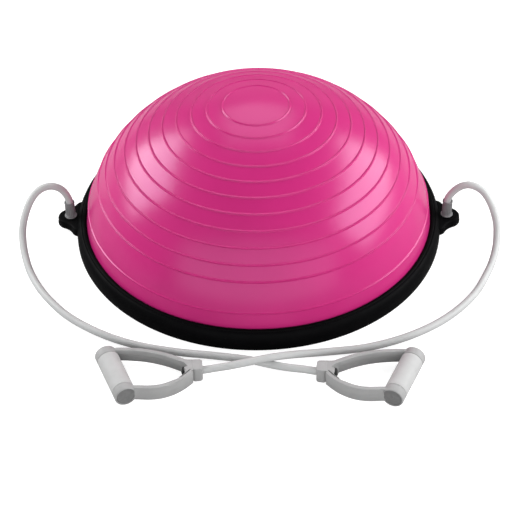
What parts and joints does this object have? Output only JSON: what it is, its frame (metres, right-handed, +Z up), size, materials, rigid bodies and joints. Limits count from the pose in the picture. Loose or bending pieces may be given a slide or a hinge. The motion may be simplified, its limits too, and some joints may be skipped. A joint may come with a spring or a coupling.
{
  "type": "balance dome trainer",
  "caption": "Inflated half-ball balance trainer on a flat round base, with elastic pull tubes ending in D-shaped hand grips.",
  "frame": {"origin": "centre of the round base, on the floor, at the underside of the centre foot pad", "axes": "+Z up through the dome's crown, -Y towards the front where the handles lie, +X to the right seen from the front; the two lugs lie on the X axis"},
  "size_m": [0.7928, 0.7322, 0.251],
  "materials": {
    "dome_skin": "semi-gloss pink vinyl",
    "base_shell": "fine-grained black moulding",
    "valve_plastic": "smooth pale moulding",
    "foot_rubber": "matt grip rubber",
    "screw_steel": "zinc plated",
    "bushing_plastic": "ribbed grey moulding",
    "stop_rubber": "matt",
    "handle_plastic": "satin light grey moulding",
    "grip_plastic": "satin light grey moulding",
    "end_cap_plastic": "satin mid grey moulding",
    "tube_rubber": "smooth light grey latex"
  },
  "bodies": {
    "base": {"dome_bladder": "dome_skin", "base_rim": "base_shell", "base_plate": "base_shell", "valve_body": "valve_plastic", "foot_pad_centre": "foot_rubber", "foot_pad_1": "foot_rubber", "foot_pad_2": "foot_rubber", "foot_pad_3": "foot_rubber", "foot_pad_4": "foot_rubber", "foot_pad_5": "foot_rubber", "foot_pad_6": "foot_rubber", "base_screw_1": "screw_steel", "base_screw_2": "screw_steel", "base_screw_3": "screw_steel", "base_screw_4": "screw_steel", "base_screw_5": "screw_steel", "base_screw_6": "screw_steel", "base_screw_7": "screw_steel", "base_screw_8": "screw_steel", "tube_bushing_left": "bushing_plastic", "tube_bushing_right": "bushing_plastic", "tube_stop_left": "stop_rubber", "tube_stop_right": "stop_rubber", "elastic_tube_left": "tube_rubber", "elastic_tube_right": "tube_rubber"},
    "valve_plug": {"valve_plug": "valve_plastic"},
    "handle_left": {"handle_bow_left": "handle_plastic", "grip_core_left": "screw_steel", "front_end_cap_left": "end_cap_plastic", "back_end_cap_left": "end_cap_plastic", "neck_plug_left": "stop_rubber"},
    "grip_left": {"grip_sleeve_left": "grip_plastic"},
    "handle_right": {"handle_bow_right": "handle_plastic", "grip_core_right": "screw_steel", "front_end_cap_right": "end_cap_plastic", "back_end_cap_right": "end_cap_plastic", "neck_plug_right": "stop_rubber"},
    "grip_right": {"grip_sleeve_right": "grip_plastic"}
  },
  "joints": [
    {"name": "handle_left_pull", "type": "slide", "parent": "base", "child": "handle_left", "axis": [-0.9606, -0.101, 0.2588], "range_m": [0, 0.2], "deforming": ["elastic_tube_right"]},
    {"name": "handle_right_pull", "type": "slide", "parent": "base", "child": "handle_right", "axis": [0.9597, -0.1093, 0.2588], "range_m": [0, 0.2], "deforming": ["elastic_tube_left"]},
    {"name": "grip_left_spin", "type": "hinge", "parent": "handle_left", "child": "grip_left", "pos_m": [-0.2105, -0.3715, 0.017], "axis": [-0.3987, 0.9171, 0], "continuous": true},
    {"name": "grip_right_spin", "type": "hinge", "parent": "handle_right", "child": "grip_right", "pos_m": [0.222, -0.3755, 0.017], "axis": [-0.4067, -0.9135, 0], "continuous": true},
    {"name": "valve_plug_pull", "type": "slide", "parent": "base", "child": "valve_plug", "axis": [0, 0, -1], "range_m": [0, 0.03]}
  ]
}
